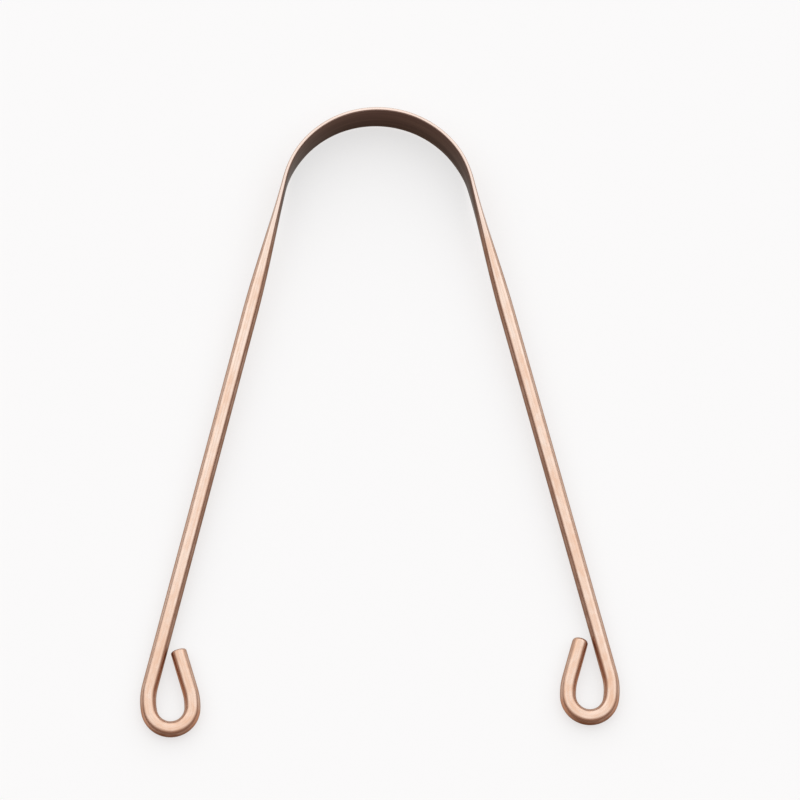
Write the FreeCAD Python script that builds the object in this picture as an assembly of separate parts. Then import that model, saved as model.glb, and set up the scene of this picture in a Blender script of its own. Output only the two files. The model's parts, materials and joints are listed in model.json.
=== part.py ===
import FreeCAD, Part
import math
import os

# A tongue scraper bent from one length of round copper wire.
# The middle of the wire is pressed into a thin strip that stands on its edge and bends into an arch:
# the scraping blade. Past the arch the strip tapers back to round wire, which runs out in two
# splayed arms, and each arm ends in a teardrop finger loop with its cut end turned back to the arm.
# The wire is divided where its forming changes, and the stretches meet on flat cross-sections.

# Driving dimensions, in millimetres and degrees.
# Wire stock and the strip pressed from it.
wire_diameter = 3.0
blade_thickness = 0.8
blade_edge_wrap_deg = 89.0
wire_edge_wrap_deg = 60.0

# Arch, measured along the wire's centreline from the crown.
arch_radius = 18.65
crown_half_length = 5.0
blade_half_length = 17.5
taper_length = 34.5

# Arms, from the end of the arch to the start of the loop.
arm_splay_deg = 14.15
left_arm_length = 102.9
right_arm_length = 100.4

# Finger loops: an easing arc, a tight bend round a peg, a second easing arc and a straight return.
loop_inside_radius = 2.55
ease_radius = 11.4
arm_ease_deg = 25.0
return_ease_deg = 18.0
return_length = 7.9
loop_mouth = 0.55
left_tip_round = 0.45
right_tip_round = 0.9

# How finely the pressed strip is described.
side_stations = 12
shoulder_stations = 10

# A tip's rounding stays inside this share of the wire's radius.
tip_round_limit_share = 0.95

# Values worked out from the driving dimensions.
wire_radius = wire_diameter / 2
splay = math.radians(arm_splay_deg)
arch_length = arch_radius * (math.pi / 2 - splay)
taper_end = blade_half_length + taper_length
loop_radius = loop_inside_radius + wire_radius
ease_excess = ease_radius - loop_radius
arm_ease = math.radians(arm_ease_deg)
return_ease = math.radians(return_ease_deg)
loop_offset = loop_radius + ease_excess * (1 - math.cos(arm_ease))
arm_lengths = {-1: left_arm_length, 1: right_arm_length}
tip_rounds = {-1: left_tip_round, 1: right_tip_round}
side_names = {-1: "left", 1: "right"}

plane_normal = FreeCAD.Vector(0, 0, 1)
arch_centre = FreeCAD.Vector(0, 0, 0)


def roundness_share(along):
    """How far the strip has come back to round wire at a length along it: 0 at the crown, 1 at the arms."""
    share = min(max((along - blade_half_length) / taper_length, 0), 1)
    return share ** 2 * (3 - 2 * share)


def width_of(thickness):
    """Width of a strip with round edges that keeps the cross-section's area of the wire."""
    return thickness + math.pi / 4 * (wire_diameter ** 2 - thickness ** 2) / thickness


def arm_directions(side):
    """The way an arm runs, and its outward normal in the wire's plane."""
    run = FreeCAD.Vector(side * math.sin(splay), -math.cos(splay), 0)
    outward = FreeCAD.Vector(side * math.cos(splay), math.sin(splay), 0)
    return run, outward


def station(side, along):
    """Centre and outward normal of the wire, at a length from the crown on one side."""
    angle = min(along, arch_length) / arch_radius
    outward = FreeCAD.Vector(side * math.sin(angle), math.cos(angle), 0)
    run = arm_directions(side)[0]
    return outward * arch_radius + run * max(along - arch_length, 0), outward


def pressed_section(side, along):
    """Closed outline of the pressed wire: an oval of four tangent arcs, a circle where the wire is round."""
    centre, outward = station(side, along)
    roundness = roundness_share(along)
    thickness = blade_thickness + (wire_diameter - blade_thickness) * roundness
    half_thickness = thickness / 2
    half_width = width_of(thickness) / 2
    wrap_deg = blade_edge_wrap_deg + (wire_edge_wrap_deg - blade_edge_wrap_deg) * roundness
    edge_wrap = math.radians(wrap_deg)
    sharpness = math.cos(edge_wrap) / (math.sin(edge_wrap) + math.cos(edge_wrap) - 1) - 1
    edge_radius = half_thickness - sharpness * (half_width - half_thickness)
    seam_out = edge_radius * math.sin(edge_wrap)
    seam_up = half_width - edge_radius * (1 - math.cos(edge_wrap))
    seams = [(seam_out, seam_up), (-seam_out, seam_up), (-seam_out, -seam_up), (seam_out, -seam_up)]
    middles = [(0, half_width), (-half_thickness, 0), (0, -half_width), (half_thickness, 0)]

    def at(place):
        return centre + outward * place[0] + plane_normal * place[1]

    arcs = []
    for i, middle in enumerate(middles):
        next_seam = seams[(i + 1) % len(seams)]
        arcs.append(Part.Arc(at(seams[i]), at(middle), at(next_seam)).toShape())
    return Part.Wire(arcs)


def round_section(centre, direction):
    """Circle of the wire's own diameter, square to a direction."""
    return Part.Wire(Part.makeCircle(wire_radius, centre, direction))


def scraping_blade():
    """The crown: strip of one section, turned about the arch's centre."""
    face = Part.Face(pressed_section(-1, crown_half_length))
    sweep = -2 * math.degrees(crown_half_length / arch_radius)
    return face.revolve(arch_centre, plane_normal, sweep)


def pressed_stretch(side, start, end, count):
    """Pressed wire between two lengths along its centreline."""
    step = (end - start) / (count - 1)
    sections = [pressed_section(side, start + step * i) for i in range(count)]
    return Part.makeLoft(sections, True)


def blade_side(side):
    """The flexing side of the arch, from the crown to the end of the arch."""
    return pressed_stretch(side, crown_half_length, arch_length, side_stations)


def shoulder(side):
    """The straight taper from strip to round wire."""
    return pressed_stretch(side, arch_length, taper_end, shoulder_stations)


def arm_end(side):
    """Where the straight arm turns into its loop."""
    return station(side, arch_length + arm_lengths[side])[0]


def handle(side):
    """The straight round part of an arm."""
    start = station(side, taper_end)[0]
    run = arm_directions(side)[0]
    return Part.makeCylinder(wire_radius, (arm_end(side) - start).Length, start, run)


def loop_centre(side):
    """Centre of the tight bend, on the inner side of the arm."""
    run, outward = arm_directions(side)
    return arm_end(side) + run * ease_excess * math.sin(arm_ease) - outward * loop_offset


def return_turn():
    """Angle between the return and the arm that leaves the stated mouth at the tip."""
    inward = loop_inside_radius + ease_excess * (1 - math.cos(return_ease))
    back = return_length + ease_excess * math.sin(return_ease)
    inset = loop_mouth + wire_radius - loop_offset
    return math.acos(inset / math.hypot(inward, back)) - math.atan2(back, inward)


def turned(vector, side, angle):
    """A vector of the wire's plane turned the way that a side's loop bends."""
    return FreeCAD.Rotation(plane_normal, side * -math.degrees(angle)).multVec(vector)


def bend_arc(start, centre, side, angle):
    """Arc from a start point round a centre, the way that a side's loop bends."""
    middle = centre + turned(start - centre, side, angle / 2)
    end = centre + turned(start - centre, side, angle)
    return Part.Arc(start, middle, end).toShape(), end


def loop_path(side):
    """The loop's centreline as three tangent arcs, its end point and the way it runs on there."""
    run, outward = arm_directions(side)
    start = arm_end(side)
    centre = loop_centre(side)
    loop_turn = math.pi + return_turn()
    ease_in, bend_start = bend_arc(start, start - outward * ease_radius, side, arm_ease)
    bend, bend_end = bend_arc(bend_start, centre, side, loop_turn - arm_ease - return_ease)
    ease_centre = centre - turned(outward, side, loop_turn - return_ease) * ease_excess
    ease_out, loop_end = bend_arc(bend_end, ease_centre, side, return_ease)
    return Part.Wire([ease_in, bend, ease_out]), loop_end, turned(run, side, loop_turn)


def finger_loop(side):
    """The teardrop bend: round wire swept along the tight bend and the easing arcs on both sides of it."""
    path = loop_path(side)[0]
    profile = round_section(arm_end(side), arm_directions(side)[0])
    return path.makePipeShell([profile], True, False)


def return_end(side):
    """The straight end turned back towards the arm, with its cut edge rounded off."""
    path, start, direction = loop_path(side)
    end = Part.makeCylinder(wire_radius, return_length, start, direction)
    tip = start + direction * return_length
    rims = [e for e in end.Edges if e.Closed and e.CenterOfMass.isEqual(tip, wire_radius)]
    return end.makeFillet(min(tip_rounds[side], tip_round_limit_share * wire_radius), rims)


def lying_tilt():
    """Tilt of the wire's plane when the wide blade and the narrow loops lie on one flat surface."""
    blade_contact = station(1, blade_half_length)[0].y
    loop_contact = min(loop_centre(side).y for side in side_names) - loop_radius
    run = blade_contact - loop_contact
    half_width = width_of(blade_thickness) / 2
    return math.acos(wire_radius / math.hypot(half_width, run)) - math.atan2(run, half_width)


def wire_stretches():
    """Every named stretch of the wire, in the wire's own plane."""
    stretches = {"scraping_blade": scraping_blade()}
    for side, name in side_names.items():
        stretches[name + "_blade_side"] = blade_side(side)
        stretches[name + "_shoulder"] = shoulder(side)
        stretches[name + "_handle"] = handle(side)
        stretches[name + "_finger_loop"] = finger_loop(side)
        stretches[name + "_return_end"] = return_end(side)
    return stretches


def lying_placement(stretches):
    """Placement that lays the scraper on its surface, with the origin under the middle of its outline."""
    tilt = FreeCAD.Rotation(FreeCAD.Vector(1, 0, 0), math.degrees(lying_tilt()))
    turned_part = Part.makeCompound([s.copy() for s in stretches.values()])
    turned_part.Placement = FreeCAD.Placement(FreeCAD.Vector(0, 0, 0), tilt)
    box = turned_part.optimalBoundingBox(False)
    return FreeCAD.Placement(FreeCAD.Vector(-box.Center.x, -box.Center.y, -box.ZMin), tilt)


os.makedirs("parts", exist_ok=True)
stretches = wire_stretches()
lying = lying_placement(stretches)
for name, shape in stretches.items():
    shape.Placement = lying.multiply(shape.Placement)
    shape.exportStep("parts/" + name + ".step")
    print(name, "volume", round(shape.Volume, 3), "valid", shape.isValid(), "solids", len(shape.Solids))
print("tilt of the wire's plane", round(math.degrees(lying_tilt()), 4))
print("arch centre lies at", [round(v, 4) for v in lying.multVec(arch_centre)])
print("angle between return and arm", round(math.degrees(return_turn()), 3))
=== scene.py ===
# %% [markdown]
# A copper tongue scraper, bent from one wire.
# The real thing starts as a straight length of round copper wire. Its middle is pressed into a thin
# strip, the strip is bent into an arch that scrapes, and both ends are curled into finger loops.
# So this lesson has one main idea: describe how the wire is bent, describe how its cross-section
# changes along it, and let a node tree put the two together. First the fixed frame is loaded.

# %% Load the fixed frame
import json
import math

import bpy
from mathutils import Matrix, Vector


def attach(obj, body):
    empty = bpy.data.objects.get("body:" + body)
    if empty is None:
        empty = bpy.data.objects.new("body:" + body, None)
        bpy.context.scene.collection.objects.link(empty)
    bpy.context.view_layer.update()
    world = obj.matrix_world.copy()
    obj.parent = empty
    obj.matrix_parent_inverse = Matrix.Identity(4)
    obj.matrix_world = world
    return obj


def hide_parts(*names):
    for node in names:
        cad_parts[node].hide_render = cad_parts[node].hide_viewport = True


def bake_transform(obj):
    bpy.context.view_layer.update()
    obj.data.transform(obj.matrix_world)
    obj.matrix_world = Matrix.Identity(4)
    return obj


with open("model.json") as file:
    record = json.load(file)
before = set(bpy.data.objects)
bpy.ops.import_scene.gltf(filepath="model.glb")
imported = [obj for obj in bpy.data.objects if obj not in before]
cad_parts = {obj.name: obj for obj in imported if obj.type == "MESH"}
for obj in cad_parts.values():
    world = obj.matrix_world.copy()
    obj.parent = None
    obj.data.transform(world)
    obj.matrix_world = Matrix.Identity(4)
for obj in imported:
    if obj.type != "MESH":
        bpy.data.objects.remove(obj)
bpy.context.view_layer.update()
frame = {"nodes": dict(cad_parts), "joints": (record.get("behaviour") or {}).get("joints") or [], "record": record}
print("frame nodes:", sorted(frame["nodes"]))

# %% [markdown]
# The whole wire lies in one plane, and that plane leans a little, because the wide blade lifts one end
# of the scraper off the table. We could measure the lean on a mesh, but the frame already knows it:
# the arms flex about an axis square to the wire's plane, and the saddle mount sits on the inner face
# of the arch's crown and points down the middle of the object.

# %% Find the plane that the wire lies in
MM = 0.001
joints = {joint["name"]: joint for joint in frame["joints"]}
mounts = {mount["name"]: mount for mount in frame["record"]["mounts"]}
saddle = mounts["arch_saddle"]
plane_normal = Vector(joints["left_arm_flex"]["axis"]).normalized()
to_crown = -Vector(saddle["axis"]).normalized()
to_right = to_crown.cross(plane_normal)
print("the plane leans", round(math.degrees(math.acos(plane_normal.z)), 3), "degrees")

# %% [markdown]
# These are the sizes that a wire bender would be given. The stock is round wire. The arch is bent
# round a former, the arms stay straight, and each loop is a tight bend round a peg with an easing arc
# on both sides of it and a short straight return. The two arms differ by a few millimetres, as hand-set
# ones do.

# %% Sizes of the wire and of its bends
wire_diameter = 3.0 * MM
blade_thickness = 0.8 * MM
blade_half_length = 17.5 * MM
taper_length = 34.5 * MM
arch_radius = 18.65 * MM
crown_half_length = 5.0 * MM
arm_splay = math.radians(14.15)
arm_lengths = {-1: 102.9 * MM, 1: 100.4 * MM}
loop_inside_radius = 2.55 * MM
ease_radius = 11.4 * MM
arm_ease = math.radians(25.0)
return_ease = math.radians(18.0)
return_length = 7.9 * MM
loop_mouth = 0.55 * MM
tip_rounds = {-1: 0.45 * MM, 1: 0.9 * MM}
side_names = {-1: "left", 1: "right"}

wire_radius = wire_diameter / 2
loop_radius = loop_inside_radius + wire_radius
taper_end = blade_half_length + taper_length
arch_centre = Vector(saddle["pos_m"]) - to_crown * (arch_radius - blade_thickness / 2)
print("arch centre (mm):", [round(v / MM, 3) for v in arch_centre])

# %% [markdown]
# The cut end of each loop stops just short of the arm. The width of that mouth fixes how far the
# return leans towards the arm, so the angle is worked out here instead of being guessed.

# %% Lean of the return
ease_excess = ease_radius - loop_radius
loop_offset = loop_radius + ease_excess * (1 - math.cos(arm_ease))
inward = loop_inside_radius + ease_excess * (1 - math.cos(return_ease))
back_length = return_length + ease_excess * math.sin(return_ease)
mouth_inset = loop_mouth + wire_radius - loop_offset
return_turn = math.acos(mouth_inset / math.hypot(inward, back_length)) - math.atan2(back_length, inward)
print("the return leans", round(math.degrees(return_turn), 2), "degrees from its arm")

# %% [markdown]
# A bending machine is programmed as pairs of feed and turn: push this much wire, and turn it by this
# much meanwhile. Starting from the middle of the crown, one half of the scraper is six such pairs: the
# arm ends after the second, and the loop after the fifth. The same programme, mirrored, makes the other
# half. A curve drawn by hand could follow the outline too, but the pairs keep every straight truly
# straight and every bend truly round.

# %% The bending programme
arch_turn = math.pi / 2 - arm_splay
bend_turn = math.pi + return_turn - arm_ease - return_ease
arch_length = arch_radius * arch_turn
stretches_to_arm_end = 2
stretches_to_loop_end = 5


def bending_programme(side):
    """Feed and turn of each stretch of one half of the wire, from the crown to the cut end."""
    return [
        (arch_length, arch_turn),
        (arm_lengths[side], 0),
        (ease_radius * arm_ease, arm_ease),
        (loop_radius * bend_turn, bend_turn),
        (ease_radius * return_ease, return_ease),
        (return_length, 0),
    ]


def wire_length(side, stretches=None):
    """Length of wire fed up to the end of a number of stretches, or of them all."""
    return sum(feed for feed, turn in bending_programme(side)[:stretches])


print("developed length of the wire (mm):", round((wire_length(-1) + wire_length(1)) / MM, 1))

# %% [markdown]
# Walking the programme gives, at any length along the wire, where its centre is and which way is
# outward. The walk is done in flat coordinates and laid into the wire's plane at the end.


# %% Walk along the wire
def station(side, along):
    """Centre of the wire and its outward direction, at a length from the crown on one side."""
    if along < 0:
        side, along = -side, -along
    place, heading = Vector((0, arch_radius)), 0.0
    for feed, turn in bending_programme(side):
        part = min(along, feed) / feed
        out = Vector((math.sin(heading), math.cos(heading)))
        heading += turn * part
        new_out = Vector((math.sin(heading), math.cos(heading)))
        run = Vector((out.y, -out.x))
        place += (new_out - out) * (feed / turn) if turn else run * (feed * part)
        along -= feed * part
        if along <= 0:
            break
    centre = arch_centre + to_right * (side * place.x) + to_crown * place.y
    return centre, to_right * (side * new_out.x) + to_crown * new_out.y


for side, name in side_names.items():
    tip = station(side, wire_length(side))[0]
    print(name, "cut end (mm):", [round(v / MM, 3) for v in tip])

# %% [markdown]
# The line of the wire becomes a mesh of points and edges, one point for each ring of the finished
# surface. Rings stand close together where the wire bends or tapers, and further apart where it is
# straight. At a cut end they crowd together as a sine does near its top, so that its rounding comes out
# even.

# %% Where the rings stand
arch_spacing = 0.16 * MM
taper_spacing = 0.3 * MM
straight_spacing = 1.2 * MM
loop_spacing = 0.16 * MM
tip_rings = 10


def evenly(start, end, spacing):
    """Places from a start up to, and without, an end."""
    count = max(1, round((end - start) / spacing))
    return [start + (end - start) * i / count for i in range(count)]


def arm_rings(side):
    """Places of the rings of an arm, from the end of the arch to the cut end."""
    arm_end = wire_length(side, stretches_to_arm_end)
    loop_end = wire_length(side, stretches_to_loop_end)
    wire_end = wire_length(side)
    rounding = tip_rounds[side]
    rings = evenly(arch_length, taper_end, taper_spacing)
    rings += evenly(taper_end, arm_end, straight_spacing)
    rings += evenly(arm_end, loop_end, loop_spacing)
    rings += evenly(loop_end, wire_end - rounding, straight_spacing)
    for i in range(tip_rings + 1):
        rings.append(wire_end - rounding * (1 - math.sin(math.pi / 2 * i / tip_rings)))
    return rings


def bent_line(name, side, rings):
    """A mesh of points and edges along the wire, which remembers its lengths and outward directions."""
    stations = [station(side, along) for along in rings]
    mesh = bpy.data.meshes.new(name)
    edges = [(i - 1, i) for i in range(1, len(rings))]
    mesh.from_pydata([centre for centre, out in stations], edges, [])
    mesh.attributes.new("along", "FLOAT", "POINT").data.foreach_set("value", rings)
    outward = mesh.attributes.new("outward", "FLOAT_VECTOR", "POINT")
    outward.data.foreach_set("vector", [value for centre, out in stations for value in out])
    line = bpy.data.objects.new(name, mesh)
    bpy.context.scene.collection.objects.link(line)
    return line


print("rings on the left arm:", len(arm_rings(-1)))

# %% [markdown]
# Node trees hold a lot of arithmetic, and wiring Math nodes by hand hides the formula. So one small
# class wraps a socket: adding, subtracting, multiplying or dividing two of them adds the Math node and
# gives back its output. Every other node comes from the one method called node. The colour sockets of a
# Mix node share their names with other sockets of it, so they go by number.


# %% Sums made of nodes
class Flow:
    """A socket of a node tree that can be used in a sum, as a number can."""

    def __init__(self, tree, socket=None):
        self.tree = tree
        self.socket = socket

    def node(self, kind, settings=None, sockets=None, output=0):
        """Add a node: settings first, then the value or link of each socket, and give one output."""
        made = self.tree.nodes.new(kind)
        for name, value in (settings or {}).items():
            setattr(made, name, value)
        for name, value in (sockets or {}).items():
            if isinstance(value, Flow):
                self.tree.links.new(value.socket, made.inputs[name])
            else:
                made.inputs[name].default_value = value
        return Flow(self.tree, made.outputs[output] if made.outputs else None)

    def other(self, name):
        """Another output of the same node."""
        return Flow(self.tree, self.socket.node.outputs[name])

    def maths(self, operation, *values):
        """A Math node on values or sockets."""
        return self.node("ShaderNodeMath", {"operation": operation}, dict(enumerate(values)))

    def vector(self, operation, *values, output=0):
        """A Vector Math node on vectors or sockets."""
        return self.node("ShaderNodeVectorMath", {"operation": operation}, dict(enumerate(values)), output)

    def smooth(self, start, end, low=0.0, high=1.0):
        """A soft step from low to high, as this value goes from start to end."""
        sockets = {"Value": self, 1: start, 2: end, 3: low, 4: high}
        return self.node("ShaderNodeMapRange", {"interpolation_type": "SMOOTHSTEP"}, sockets)

    def fade(self, start, end):
        """A soft step from 1 to 0, as this value goes from start to end."""
        return self.smooth(start, end, low=1.0, high=0.0)

    def mix(self, factor, first, second):
        """A colour between two colours."""
        return self.node("ShaderNodeMix", {"data_type": "RGBA"}, {0: factor, 6: first, 7: second}, 2)

    def __add__(self, other):
        return self.maths("ADD", self, other)

    def __sub__(self, other):
        return self.maths("SUBTRACT", self, other)

    def __rsub__(self, other):
        return self.maths("SUBTRACT", other, self)

    def __mul__(self, other):
        return self.maths("MULTIPLY", self, other)

    def __truediv__(self, other):
        return self.maths("DIVIDE", self, other)

    def __rtruediv__(self, other):
        return self.maths("DIVIDE", other, self)

    __radd__ = __add__
    __rmul__ = __mul__


# %% [markdown]
# Now the main tree. It takes the bent line and sweeps a ring along it, and then moves every point of
# the ring onto the true cross-section. A sweep with one fixed profile could not do this, because the
# section changes from a flat strip at the crown to a full circle at the arms. Its sizes are named
# inputs, so that the same tree forms every piece of the wire.

# %% Start the tree, with its named inputs
forming = bpy.data.node_groups.new("pressed_wire", "GeometryNodeTree")
forming_inputs = [
    ("Line", "NodeSocketGeometry"),
    ("Wire Diameter", "NodeSocketFloat"),
    ("Blade Thickness", "NodeSocketFloat"),
    ("Blade Half Length", "NodeSocketFloat"),
    ("Taper Length", "NodeSocketFloat"),
    ("Cut End", "NodeSocketFloat"),
    ("Cut End Rounding", "NodeSocketFloat"),
    ("Side", "NodeSocketFloat"),
    ("Points Around", "NodeSocketInt"),
    ("Finish", "NodeSocketMaterial"),
]
for name, kind in forming_inputs:
    forming.interface.new_socket(name, in_out="INPUT", socket_type=kind)
forming.interface.new_socket("Wire", in_out="OUTPUT", socket_type="NodeSocketGeometry")
start = Flow(forming)
group_input = start.node("NodeGroupInput")
inputs = {name: group_input.other(name) for name, kind in forming_inputs}
print("inputs of the tree:", list(inputs))

# %% [markdown]
# The sweep itself. Before the line is swept, each of its points stores its own centre and the way the
# wire runs there, and each point of the ring stores how far round it is. After the sweep every point
# of the surface has all of these.


# %% Sweep a ring along the line
def store(geometry, name, kind, value):
    """Keep a value on the points of a geometry, under a name."""
    settings = {"data_type": kind, "domain": "POINT"}
    sockets = {0: geometry, "Name": name, "Value": value}
    return start.node("GeometryNodeStoreNamedAttribute", settings, sockets)


def stored(name, kind="FLOAT"):
    """Read back a value that is kept under a name."""
    return start.node("GeometryNodeInputNamedAttribute", {"data_type": kind}, {"Name": name})


line = store(inputs["Line"], "centre", "FLOAT_VECTOR", start.node("GeometryNodeInputPosition"))
line = start.node("GeometryNodeMeshToCurve", None, {0: line})
line = store(line, "run", "FLOAT_VECTOR", start.node("GeometryNodeInputTangent"))
ring = start.node("GeometryNodeCurvePrimitiveCircle", None, {"Resolution": inputs["Points Around"]})
ring = store(ring, "around", "FLOAT", start.node("GeometryNodeInputIndex") / inputs["Points Around"])
sweep = {"Curve": line, "Profile Curve": ring, "Fill Caps": True}
wire = start.node("GeometryNodeCurveToMesh", None, sweep)
print("sweep made with", len(forming.nodes), "nodes so far")

# %% [markdown]
# How thick is the wire at a place? Copper keeps its volume in the press, so the thinner the strip, the
# wider it spreads: the width follows from the thickness and the area of the round wire. The thickness
# itself eases from the blade's to the wire's along the taper. At a cut end both shrink along a
# quarter circle, which rounds the edge.

# %% Thickness and width along the wire
along = start.maths("ABSOLUTE", stored("along"))
taper_start = inputs["Blade Half Length"]
roundness = along.smooth(start=taper_start, end=taper_start + inputs["Taper Length"])
growth = inputs["Wire Diameter"] - inputs["Blade Thickness"]
thickness = inputs["Blade Thickness"] + growth * roundness
spread = inputs["Wire Diameter"] * inputs["Wire Diameter"] / thickness - thickness
from_cut = inputs["Cut End"] - along
cut_share = start.maths("MAXIMUM", 1 - from_cut / inputs["Cut End Rounding"], 0.0)
shrink = inputs["Cut End Rounding"] * (1 - start.maths("SQRT", 1 - cut_share * cut_share))
half_thickness = thickness / 2 - shrink
half_width = half_thickness + spread * (math.pi / 8)
flatness = 1 - half_thickness / half_width
print("section sizes added,", len(forming.nodes), "nodes")

# %% [markdown]
# The section is an oval of four arcs that meet tangentially: two tight ones at the edges and two shallow
# ones on the faces. On the strip the tight ones wrap nearly a quarter turn to each side, which leaves the
# faces almost flat. Where the wire is round all four have the same radius. Only a quarter of the oval is
# worked out, and the other three are mirrored from it. The flatter the strip, the larger the share of the
# ring's points on its faces, so that no face of the mesh is a long sliver.

# %% Points of the oval section
blade_edge_wrap = math.radians(89.0)
wire_edge_wrap = math.radians(60.0)
round_face_share = 1 - wire_edge_wrap / (math.pi / 2)
strip_face_share = 0.5

edge_wrap = blade_edge_wrap + roundness * (wire_edge_wrap - blade_edge_wrap)
wrap_sine = start.maths("SINE", edge_wrap)
wrap_cosine = start.maths("COSINE", edge_wrap)
sharpness = wrap_cosine / (wrap_sine + wrap_cosine - 1) - 1
face_turn = math.pi / 2 - edge_wrap
edge_radius = half_thickness - sharpness * (half_width - half_thickness)
face_radius = edge_radius + (half_width - edge_radius) / wrap_cosine
quarters = 4
quarter = start.maths("PINGPONG", stored("around") * quarters, 1.0)
face_share = round_face_share + flatness * (strip_face_share - round_face_share)
on_edge = start.maths("GREATER_THAN", quarter, face_share)
face_part = start.maths("MINIMUM", quarter / face_share, 1.0) * face_turn
edge_part = start.maths("MAXIMUM", (quarter - face_share) / (1 - face_share), 0.0) * edge_wrap
facing = face_part + edge_part
arc_radius = face_radius + on_edge * (edge_radius - face_radius)
arc_out = (1 - on_edge) * (half_thickness - face_radius)
arc_up = on_edge * (half_width - edge_radius)
print("oval section added,", len(forming.nodes), "nodes")

# %% [markdown]
# Each point now goes to its place: so far outward from the centre, and so far across the strip. The
# signs of a cosine and a sine tell which quarter it is in. Three values are kept for the finish:
# - The place on the drawn wire, so that drawing marks can follow it round every bend. It counts lengths
#   from the crown, negative on the left, so that the marks run on from piece to piece.
# - The form there: how flat the strip is, which way the surface faces (1 outward, 0 square to the wire's
#   plane, -1 to the inside of the bend), and how far away the cut end is.
# - The shade side: how far this side of the wire faces away from the crown, where the finish paints shade.


# %% Move the points and keep what the finish needs
def step_along(way, length):
    """A step of some length along a direction."""
    return start.node("ShaderNodeVectorMath", {"operation": "SCALE"}, {0: way, "Scale": length})


turn_round = stored("around") * (2 * math.pi)
cosine = start.maths("COSINE", turn_round)
sine = start.maths("SINE", turn_round)
out_by = start.maths("SIGN", cosine) * (arc_radius * start.maths("COSINE", facing) + arc_out)
across_by = start.maths("SIGN", sine) * (arc_radius * start.maths("SINE", facing) + arc_up)

outward = stored("outward", "FLOAT_VECTOR")
across = start.vector("CROSS_PRODUCT", stored("run", "FLOAT_VECTOR"), outward)
across = start.vector("NORMALIZE", across)
step = start.vector("ADD", step_along(outward, out_by), step_along(across, across_by))
place = start.vector("ADD", stored("centre", "FLOAT_VECTOR"), step)
wire = start.node("GeometryNodeSetPosition", None, {"Geometry": wire, "Position": place})

drawn_place = start.node("ShaderNodeCombineXYZ", None, {
    "X": cosine * inputs["Wire Diameter"] / 2,
    "Y": sine * inputs["Side"] * inputs["Wire Diameter"] / 2,
    "Z": stored("along") * inputs["Side"],
})
side_facing = start.maths("SIGN", cosine) * (1 - facing / (math.pi / 2))
form = start.node("ShaderNodeCombineXYZ", None, {"X": flatness, "Y": side_facing, "Z": from_cut})
# How far the side faces away from the crown, towards the dim room; the finish paints shade there.
away_from_crown = start.vector("DOT_PRODUCT", outward, -to_crown, output="Value")
shade_facing = start.maths("SIGN", cosine) * away_from_crown
wire = store(wire, "drawn_place", "FLOAT_VECTOR", drawn_place)
wire = store(wire, "form", "FLOAT_VECTOR", form)
wire = store(wire, "shade_facing", "FLOAT", shade_facing)
print("points placed,", len(forming.nodes), "nodes")

# %% [markdown]
# The tree ends by tidying up. The helper values go, the sides are shaded smooth while the flat caps
# stay crisp, and the finish is set. The caps are the only faces with more than four corners.

# %% Finish the tree
for name in ("centre", "run", "around", "outward", "along"):
    wire = start.node("GeometryNodeRemoveAttribute", None, {"Geometry": wire, "Name": name})
side_face_corners = 4
corners = start.node("GeometryNodeInputMeshFaceNeighbors")
is_cap = start.maths("GREATER_THAN", corners, side_face_corners)
wire = start.node("GeometryNodeSetShadeSmooth", None, {0: wire, "Shade Smooth": True})
crisp_caps = {0: wire, "Selection": is_cap, "Shade Smooth": False}
wire = start.node("GeometryNodeSetShadeSmooth", None, crisp_caps)
wire = start.node("GeometryNodeRealizeInstances", None, {0: wire})
wire = start.node("GeometryNodeSetMaterial", None, {"Geometry": wire, "Material": inputs["Finish"]})
start.node("NodeGroupOutput", None, {0: wire})
print("the tree has", len(forming.nodes), "nodes")

# %% [markdown]
# The finish. Copper wire is drawn through a die, which leaves fine lines along it, and it is then
# bent, pressed and polished by hand, so the lines are broken up by smoother and duller patches. A
# plain metal colour would look like plastic plating. The lines are noise that is squeezed round the
# wire and stretched along it, read from the place on the drawn wire.

# %% Drawing lines and patches
copper = bpy.data.materials.new("polished_copper")
copper.use_nodes = True
copper.node_tree.nodes.clear()
metal = Flow(copper.node_tree)


def stretched_noise(place, round_scale, along_scale, detail):
    """Noise with features of one size round the wire and another along it, per millimetre."""
    scales = (round_scale / MM, round_scale / MM, along_scale / MM)
    moved = metal.vector("MULTIPLY", place, scales)
    return metal.node("ShaderNodeTexNoise", None, {"Vector": moved, "Scale": 1.0, "Detail": detail})


drawn = metal.node("ShaderNodeAttribute", {"attribute_name": "drawn_place"}, None, "Vector")
drawing_lines = stretched_noise(drawn, round_scale=3.2, along_scale=0.035, detail=3.0)
fine_lines = stretched_noise(drawn, round_scale=11.0, along_scale=0.12, detail=2.0)
patch_noise = stretched_noise(drawn, round_scale=0.45, along_scale=0.09, detail=2.0)
mottle_noise = stretched_noise(drawn, round_scale=1.1, along_scale=0.55, detail=3.0)
streaks = drawing_lines.smooth(start=0.35, end=0.65)
handled_patches = patch_noise.smooth(start=0.38, end=0.66)
mottle = mottle_noise.smooth(start=0.36, end=0.64)
print("pattern nodes:", len(copper.node_tree.nodes))

# %% [markdown]
# Some places differ from the rest. The flanks of the wire get painted shade, a darker brown that stands in
# for the dark reflections they would show, lighter on the outside of the arch. The inside of the arch gets
# a deeper painted shade, darkest along its lower edge. The strip's edges are burnished where the press
# squeezed them and the tongue rubs them, and the press also evened out the mottle of the strip.

# %% Masks for the painted shade and the burnished edges
form = metal.node("ShaderNodeAttribute", {"attribute_name": "form"}, None, "Vector")
flat_part = metal.node("ShaderNodeSeparateXYZ", None, {0: form})
side_facing = flat_part.other("Y")
sideways = metal.maths("ABSOLUTE", side_facing)
strip = flat_part.smooth(start=0.35, end=0.8)
flank = sideways.smooth(start=0.34, end=0.8)
arch_inside = (0 - side_facing).smooth(start=0.1, end=0.7) * strip
arch_outside = side_facing.smooth(start=0.1, end=0.7) * strip
burnished = (1 - flank) * strip

# The painted shade on the inside of the arch deepens towards its lower edge.
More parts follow.
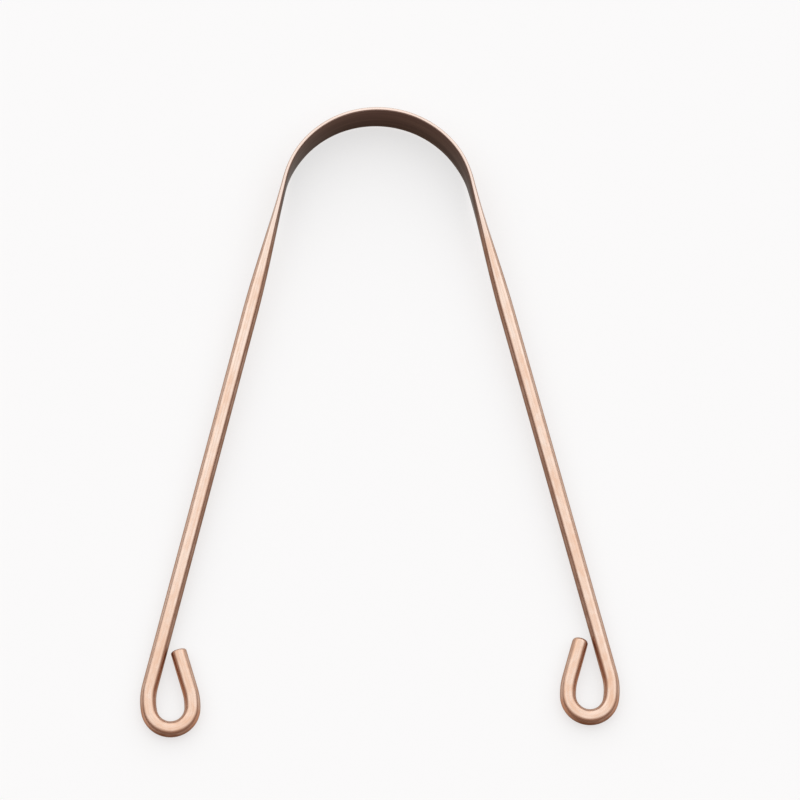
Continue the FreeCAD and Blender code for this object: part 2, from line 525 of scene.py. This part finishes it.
drawn_across = metal.node("ShaderNodeSeparateXYZ", None, {0: drawn}, "Y")
face_reach = 0.7 * wire_radius
low_edge = drawn_across.fade(start=-face_reach, end=face_reach)

middle_mottle = 0.5
pressed_evenness = 0.8
mottle = mottle + strip * (middle_mottle - mottle) * pressed_evenness
print("masks of the film ready,", len(copper.node_tree.nodes), "nodes")

# %% [markdown]
# The sides of the arms and loops that face away from the crown, towards the dim room, get painted shade,
# redder near the loops and darkest at their bottoms. Fingers hold the loops, and the arms too, less and
# less towards the arch. The cut ends are dull, with the torn grain that cutters leave.

# %% Masks for the painted side shade, the hands and the cut ends
shade_facing = metal.node("ShaderNodeAttribute", {"attribute_name": "shade_facing"}, None, "Fac")
# Painted shade on the sides of the wire that face away from the crown, towards the dim room.
painted_side_shade = sideways.smooth(start=0.3, end=0.7) * shade_facing.smooth(start=0.0, end=0.22) * (1 - strip)
# The painted shade is darkest where the side faces furthest from the crown, at the bottoms of the loops.
loop_bottom_shade = shade_facing.smooth(start=0.4, end=1.0)

loop_reach = 20.0 * MM
finger_reach = 40.0 * MM
hand_reach = 110.0 * MM
cut_depth = 0.5 * MM
cut_distance = flat_part.other("Z")
held = cut_distance.fade(start=loop_reach, end=hand_reach)
fingered = cut_distance.fade(start=loop_reach, end=finger_reach)
cut_face = cut_distance.fade(start=0.0, end=cut_depth)

grain_scale = 6.0 / MM
cut_place = metal.node("ShaderNodeTexCoord", None, None, "Object")
grain_sockets = {"Vector": cut_place, "Scale": grain_scale, "Detail": 3.0}
cut_grain = metal.node("ShaderNodeTexNoise", None, grain_sockets)
print("masks of the use ready,", len(copper.node_tree.nodes), "nodes")

# %% [markdown]
# The colour now follows from the patterns and masks. It moves between a pale and a warm copper, and the
# painted shade darkens it. A painted picture of the finish could do the same, but shades and masks can
# be changed one by one.

# %% The shades of the copper
pale_copper = (0.815, 0.655, 0.555, 1.0)
warm_copper = (0.73, 0.465, 0.325, 1.0)
# Painted shade: the flanks are a darker brown, standing in for the dark reflections they would show.
flank_shade_copper = (0.50, 0.305, 0.22, 1.0)
# Painted shade for the sides facing away from the crown: plain, redder near the loops, darkest at their bottoms.
side_shade_copper = (0.27, 0.142, 0.094, 1.0)
held_side_shade_copper = (0.52, 0.25, 0.15, 1.0)
loop_end_shade_copper = (0.16, 0.058, 0.028, 1.0)
# Painted shade for the inside of the arch, and a darker painted shade for its lower edge.
arch_inside_shade_copper = (0.09, 0.05, 0.043, 1.0)
low_edge_shade_copper = (0.045, 0.025, 0.024, 1.0)
burnished_copper = (0.815, 0.665, 0.585, 1.0)
cut_copper = (0.54, 0.36, 0.29, 1.0)
print("palest shade:", burnished_copper[:3], "darkest shade:", low_edge_shade_copper[:3])

# %% [markdown]
# Each step of the colour is a mix, so that a mask of 0 leaves the colour as it was. Two small helpers keep
# the sums readable: one breaks a mask up with a pattern, the other adds patterns by weight.


# %% Mix the colour
def broken(mask, pattern, low, high):
    """A mask whose strength follows a pattern, from low to high."""
    return mask * (low + pattern * (high - low))


def weighted(*weights):
    """The sum of patterns or masks, each times its weight."""
    return sum(pattern * weight for pattern, weight in weights)


warmth = weighted((streaks, 0.25), (mottle, 0.3), (handled_patches, 0.25), (held, 0.15), (fingered, 0.08))
# Painted shade on the flanks of the wire, lighter on the outside of the arch.
painted_flank_shade = broken(flank, mottle, low=0.85, high=1.0)
painted_flank_shade = broken(painted_flank_shade, arch_outside, low=1.0, high=0.45)
# Painted shade on the sides that face away from the crown.
side_shade_amount = broken(painted_side_shade, mottle, low=0.75, high=0.95)
side_shade_colour = metal.mix(loop_bottom_shade, metal.mix(fingered, side_shade_copper, held_side_shade_copper), loop_end_shade_copper)
# Painted shade on the inside of the arch, darkest along its lower edge.
painted_inside_shade = broken(arch_inside, streaks, low=0.95, high=1.0)
inside_shade_colour = metal.mix(low_edge, arch_inside_shade_copper, low_edge_shade_copper)
burnish_strength = 0.8
torn_face = broken(cut_face, cut_grain.smooth(start=0.3, end=0.7), low=0.5, high=1.0)

colour = metal.mix(warmth, pale_copper, warm_copper)
colour = metal.mix(painted_flank_shade, colour, flank_shade_copper)
colour = metal.mix(side_shade_amount, colour, side_shade_colour)
colour = metal.mix(painted_inside_shade, colour, inside_shade_colour)
colour = metal.mix(burnished * burnish_strength, colour, burnished_copper)
colour = metal.mix(torn_face, colour, cut_copper)
print("colours mixed,", len(copper.node_tree.nodes), "nodes")

# %% [markdown]
# The polish is even but for slight marks: it is duller along the drawing lines, in handled patches, on the
# flanks and at the cut ends, and glossier on the burnished edges. The relief is slight too: drawing lines a
# few thousandths of a millimetre deep, fainter where the press smoothed them, and the grain of the cut ends.
# Metal also darkens a little where it is seen edge-on, and the shader has a tint for that.

# %% Roughness, relief and shader
base_roughness = 0.15
pattern_roughness = weighted((streaks, 0.05), (fine_lines, 0.04), (handled_patches, 0.04), (mottle, 0.04))
place_roughness = weighted((painted_flank_shade, 0.08), (burnished, -0.05), (cut_face, 0.16), (held, 0.05))

relief_depth = 0.004 * MM
line_relief = weighted((drawing_lines, 1.0), (fine_lines, 0.5))
relief = broken(line_relief, flat_part, low=1.0, high=0.4) + cut_face * cut_grain
bump_sockets = {"Strength": 1.0, "Distance": relief_depth, "Height": relief}

edge_on_tint = (0.56, 0.51, 0.47, 1.0)
surface = metal.node("ShaderNodeBsdfPrincipled", None, {
    "Base Color": colour,
    "Metallic": 1.0,
    "Roughness": base_roughness + pattern_roughness + place_roughness,
    "Specular Tint": edge_on_tint,
    "Normal": metal.node("ShaderNodeBump", None, bump_sockets),
})
metal.node("ShaderNodeOutputMaterial", None, {"Surface": surface})
print("copper has", len(copper.node_tree.nodes), "nodes")

# %% [markdown]
# Forming a piece: the tree is put on the bent line as a modifier, its inputs are set, and the result is
# turned into a plain mesh, so that what rides on the frame has nothing left to work out.

# %% Form one piece of wire
points_around = 72
sockets = [item for item in forming.interface.items_tree if item.in_out == "INPUT"]
identifiers = {socket.name: socket.identifier for socket in sockets}


def form_wire(name, side, rings):
    """One closed piece of the wire, formed along the given places."""
    piece = bent_line(name, side, rings)
    press = piece.modifiers.new("press", "NODES")
    press.node_group = forming
    values = {
        "Wire Diameter": wire_diameter,
        "Blade Thickness": blade_thickness,
        "Blade Half Length": blade_half_length,
        "Taper Length": taper_length,
        "Cut End": wire_length(side),
        "Cut End Rounding": tip_rounds[side],
        "Side": float(side),
        "Points Around": points_around,
        "Finish": copper,
    }
    for label, value in values.items():
        press[identifiers[label]] = value
    graph = bpy.context.evaluated_depsgraph_get()
    formed = bpy.data.meshes.new_from_object(
        piece.evaluated_get(graph), preserve_all_data_layers=True, depsgraph=graph
    )
    formed.name = name
    piece.modifiers.remove(press)
    piece.data = formed
    print(name, "has", len(formed.vertices), "points and", len(formed.polygons), "faces")
    return piece


# %% [markdown]
# The crown of the arch is the part that scrapes. It is all strip, and it stays with the head.

# %% The crown
crown_rings = evenly(-crown_half_length, crown_half_length, arch_spacing) + [crown_half_length]
crown = form_wire("crown_strip", 1, crown_rings)
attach(crown, "head")
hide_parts("scraping_blade")

# %% [markdown]
# The two sides of the arch are what bends when the arms are squeezed, as a leaf spring does. Each one is
# formed and baked in place.

# %% The sides of the arch
for side, name in side_names.items():
    side_rings = evenly(crown_half_length, arch_length, arch_spacing) + [arch_length]
    flexing_side = form_wire(name + "_arch_side", side, side_rings)
    station(side, crown_half_length)[0]
    station(side, arch_length)[0]
    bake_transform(flexing_side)
    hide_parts(name + "_blade_side")

# %% [markdown]
# Each arm is one unbroken stretch of wire: the taper, the straight, the loop and the returned end. Made
# as one mesh it has no seams where the real one has none.

# %% The arms with their loops
arm_parts = ("shoulder", "handle", "finger_loop", "return_end")
for side, name in side_names.items():
    arm = form_wire(name + "_arm_wire", side, arm_rings(side))
    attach(arm, name + "_arm")
    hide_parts(*(name + "_" + part for part in arm_parts))

# %% [markdown]
# The scraper lies on a plain white table. Only its soft shadow shows there. Part of what is seen of the
# table, by the camera and in the metal alike, is plain white, and the rest is paper that takes the light
# and the shadow. So the table reads as white, and the shadow stays faint.

# %% The table
table_half_size = 4.0
corner_signs = [(-1, -1), (1, -1), (1, 1), (-1, 1)]
table_mesh = bpy.data.meshes.new("table")
table_corners = [(x * table_half_size, y * table_half_size, 0) for x, y in corner_signs]
table_mesh.from_pydata(table_corners, [], [(0, 1, 2, 3)])
table = bpy.data.objects.new("table", table_mesh)
bpy.context.scene.collection.objects.link(table)

paper = bpy.data.materials.new("white_paper")
paper.use_nodes = True
paper.node_tree.nodes.clear()
sheet = Flow(paper.node_tree)
rays = sheet.node("ShaderNodeLightPath", None, None, "Is Camera Ray")
seen = rays + rays.other("Is Glossy Ray") + rays.other("Is Transmission Ray")
paper_white = (0.95, 0.95, 0.95, 1.0)
plain_white = (1.0, 1.0, 1.0, 1.0)
white_share = 0.6
lit_paper = sheet.node("ShaderNodeBsdfDiffuse", None, {"Color": paper_white})
white_paper = sheet.node("ShaderNodeEmission", None, {"Color": plain_white, "Strength": 1.0})
white_factor = sheet.maths("MINIMUM", seen, 1.0) * white_share
paper_surface = sheet.node("ShaderNodeMixShader", None, {0: white_factor, 1: lit_paper, 2: white_paper})
sheet.node("ShaderNodeOutputMaterial", None, {"Surface": paper_surface})
table_mesh.materials.append(paper)
print("table placed")

# %% [markdown]
# The light is what makes polished metal readable, because metal shows nothing but its surroundings. A
# wide skylight hangs overhead, a little behind the scraper, and a window stands behind it, above a low
# wall. The room on the near side is dim and warm. That gives each wire a broad bright band, and a dark one
# on the side that faces the room. Both lights are caps of the sky: all directions within an angle of a
# middle one.

# %% Where the light comes from
room = bpy.data.worlds.new("room")
room.use_nodes = True
room.node_tree.nodes.clear()
bpy.context.scene.world = room
sky = Flow(room.node_tree)
direction = sky.node("ShaderNodeTexCoord", None, None, "Generated")
across_room = sky.node("ShaderNodeSeparateXYZ", None, {0: direction})
height = across_room.other("Z")


def sky_cap(climb_deg, reach_deg, soft_deg):
    """Mask of the directions near one that climbs by an angle from straight behind the scraper."""
    climb = math.radians(climb_deg)
    middle = (0.0, math.cos(climb), math.sin(climb))
    nearness = sky.vector("DOT_PRODUCT", direction, middle, output="Value")
    outer, inner = math.radians(reach_deg + soft_deg), math.radians(reach_deg - soft_deg)
    return nearness.smooth(math.cos(outer), math.cos(inner))


skylight = sky_cap(climb_deg=70.0, reach_deg=58.0, soft_deg=14.0)
above_wall = height.smooth(start=0.06, end=0.30)
window = sky_cap(climb_deg=24.0, reach_deg=57.0, soft_deg=13.0) * above_wall
lit = sky.maths("MAXIMUM", skylight, window)
print("light masks ready")

# %% [markdown]
# The window shows a cooler, brighter sky than the skylight does. Two thin glazing bars run across both, and
# the metal shows them as faint lines along the wire.

# %% Colours of the light
window_glass = (1.26, 1.29, 1.32, 1.0)
skylight_glass = (1.06, 1.07, 1.085, 1.0)
glazing_bar = (0.78, 0.78, 0.78, 1.0)
dim_room = (0.26, 0.165, 0.125, 1.0)
bar_place = 0.30
light_level = 1.15

from_bar = sky.maths("ABSOLUTE", across_room) - bar_place
bar = sky.maths("ABSOLUTE", from_bar).fade(start=0.02, end=0.06)
glass = sky.mix(height.smooth(start=0.5, end=0.8), window_glass, skylight_glass)
seen_room = sky.mix(lit, dim_room, sky.mix(bar, glass, glazing_bar))
background = sky.node("ShaderNodeBackground", None, {"Color": seen_room, "Strength": light_level})
sky.node("ShaderNodeOutputWorld", None, {"Surface": background})
print("room lit with", len(room.node_tree.nodes), "nodes")

# %% [markdown]
# The camera stands above the near end and looks down, a little from the left. Its place was found by
# matching the outline of the arch, the arms and the loops, and it is given here as a tilt, a swing and a
# roll about a point in the wire's plane.

# %% The camera
aim_to_right = 3.8735 * MM
aim_below_arch = 39.1412 * MM
distance = 800.0 * MM
tilt = math.radians(17.4653)
swing = math.radians(-2.8012)
roll = math.radians(-0.5871)
pixels_per_millimetre = 5.2447
image_width = 800
sensor_width = 36.0

aim = arch_centre + to_right * aim_to_right - to_crown * aim_below_arch
back = to_right * math.sin(swing)
back -= to_crown * (math.sin(tilt) * math.cos(swing))
back += plane_normal * (math.cos(tilt) * math.cos(swing))
level_right = to_crown.cross(back).normalized()
level_up = back.cross(level_right)
right = level_right * math.cos(roll) + level_up * math.sin(roll)
up = level_up * math.cos(roll) - level_right * math.sin(roll)

camera_data = bpy.data.cameras.new("camera")
camera_data.sensor_width = sensor_width
camera_data.lens = pixels_per_millimetre * (distance / MM) * sensor_width / image_width
camera = bpy.data.objects.new("camera", camera_data)
bpy.context.scene.collection.objects.link(camera)
axes = Matrix((right, up, back)).transposed().to_4x4()
camera.matrix_world = Matrix.Translation(aim + back * distance) @ axes
bpy.context.scene.camera = camera
bpy.context.scene.view_settings.view_transform = "Standard"
print("camera lens (mm):", round(camera_data.lens, 2))
